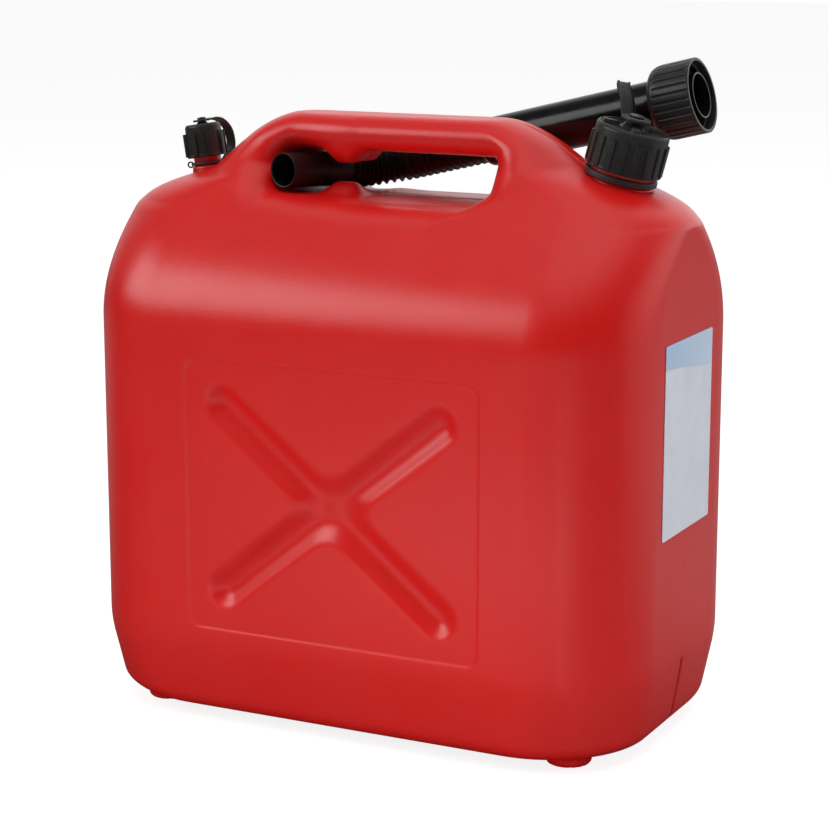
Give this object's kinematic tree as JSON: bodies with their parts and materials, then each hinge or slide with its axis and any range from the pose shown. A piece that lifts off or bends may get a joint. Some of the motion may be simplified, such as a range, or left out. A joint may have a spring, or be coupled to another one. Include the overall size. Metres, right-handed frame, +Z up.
{
  "type": "fuel can",
  "caption": "Blow-moulded plastic fuel can with a built-in carry handle, tethered screw caps on its filling and vent necks, and a flexible pouring spout stowed through the handle.",
  "frame": {"origin": "on the floor under the middle of the can, at the height of the undersides of its feet", "axes": "+Z up, +X along the can's long side towards the filling neck, -Y towards the front face, where the nozzle's mouth shows in the handle"},
  "size_m": [0.3752, 0.221, 0.4143],
  "materials": {
    "red_shell": "satin, slightly mottled blow-moulded polyethylene",
    "label_film": "printed film, pale with a blue header band",
    "black_cap": "satin moulded",
    "black_tether": "satin, soft",
    "black_tube": "smooth, semi-gloss",
    "black_bellows": "satin",
    "seal": "matte"
  },
  "bodies": {
    "can": {"can_body": "red_shell", "label": "label_film", "main_tether_ring": "black_tether", "main_tether_strap": "black_tether", "vent_tether_ring": "black_tether", "vent_tether_strap": "black_tether"},
    "main_eye": {"main_tether_eye": "black_tether"},
    "main_cap": {"main_cap": "black_cap", "main_cap_seal": "seal"},
    "vent_eye": {"vent_tether_eye": "black_tether"},
    "vent_cap": {"vent_cap": "black_cap", "vent_cap_seal": "seal"},
    "nozzle": {"spout_nozzle": "black_bellows", "spout_bellows": "black_bellows"},
    "tube": {"spout_tube": "black_tube", "spout_seal": "seal"},
    "nut": {"spout_nut": "black_cap"}
  },
  "joints": [
    {"name": "main_cap_lift", "type": "slide", "parent": "can", "child": "main_eye", "axis": [0.2588, 0, 0.9659], "range_m": [0, 0.02251], "deforming": ["main_tether_strap"]},
    {"name": "main_cap_turn", "type": "hinge", "parent": "main_eye", "child": "main_cap", "pos_m": [0.1419, 0, 0.3503], "axis": [0.2588, 0, 0.9659], "range_deg": [0, 1620]},
    {"name": "vent_cap_lift", "type": "slide", "parent": "can", "child": "vent_eye", "axis": [-0.1564, 0, 0.9877], "range_m": [0, 0.01838], "deforming": ["vent_tether_strap"]},
    {"name": "vent_cap_turn", "type": "hinge", "parent": "vent_eye", "child": "vent_cap", "pos_m": [-0.1485, 0, 0.3446], "axis": [-0.1564, 0, 0.9877], "range_deg": [0, 1890]},
    {"name": "spout_pull", "type": "slide", "parent": "can", "child": "nozzle", "axis": [0.2585, 0.9646, -0.0523], "range_m": [0, 0.095]},
    {"name": "spout_bend", "type": "hinge", "parent": "nozzle", "child": "tube", "pos_m": [-0.0476, 0.05001, 0.33804], "axis": [-0.2353, 0.1154, 0.9651], "range_deg": [0, 70], "deforming": ["spout_bellows"]},
    {"name": "spout_nut_turn", "type": "hinge", "parent": "tube", "child": "nut", "pos_m": [0.1729, 0.05001, 0.39179], "axis": [0.9715, 0, 0.2368], "continuous": true}
  ],
  "couplings": [
    {"joint": "main_cap_lift", "follows": "main_cap_turn", "m_per_rad": 0.00079577},
    {"joint": "vent_cap_lift", "follows": "vent_cap_turn", "m_per_rad": 0.00055704}
  ]
}
